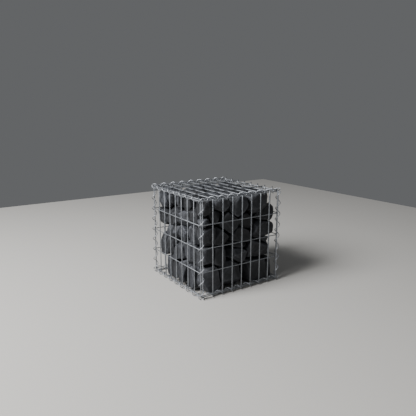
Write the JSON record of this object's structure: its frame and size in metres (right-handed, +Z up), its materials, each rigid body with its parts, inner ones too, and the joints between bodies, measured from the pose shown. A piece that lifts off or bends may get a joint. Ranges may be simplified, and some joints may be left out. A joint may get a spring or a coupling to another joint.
{
  "type": "gabion basket",
  "caption": "Cube gabion basket: welded wire mesh panels bound along every edge by wire spirals, filled with dark angular stone.",
  "frame": {"origin": "on the ground under the middle of the basket, level with the lowest turns of the bottom spirals", "axes": "+Z up, +X along the front panel to the right as seen from the front, -Y out of the front panel"},
  "size_m": [0.432, 0.4326, 0.4326],
  "materials": {
    "galvanised_wire": "dull zinc coat",
    "spiral_wire": "dull zinc coat",
    "stone": "broken basalt"
  },
  "bodies": {
    "root": {"front_mesh": "galvanised_wire", "back_mesh": "galvanised_wire", "left_mesh": "galvanised_wire", "right_mesh": "galvanised_wire", "lid_mesh": "galvanised_wire", "base_mesh": "galvanised_wire", "spiral_front_left": "spiral_wire", "spiral_back_right": "spiral_wire", "spiral_front_right": "spiral_wire", "spiral_back_left": "spiral_wire", "spiral_lid_front": "spiral_wire", "spiral_lid_back": "spiral_wire", "spiral_lid_left": "spiral_wire", "spiral_lid_right": "spiral_wire", "spiral_base_front": "spiral_wire", "spiral_base_back": "spiral_wire", "spiral_base_left": "spiral_wire", "spiral_base_right": "spiral_wire", "stone_course_1": "stone", "stone_course_2": "stone", "stone_course_3": "stone", "stone_course_4": "stone", "stone_course_5": "stone"}
  },
  "joints": []
}
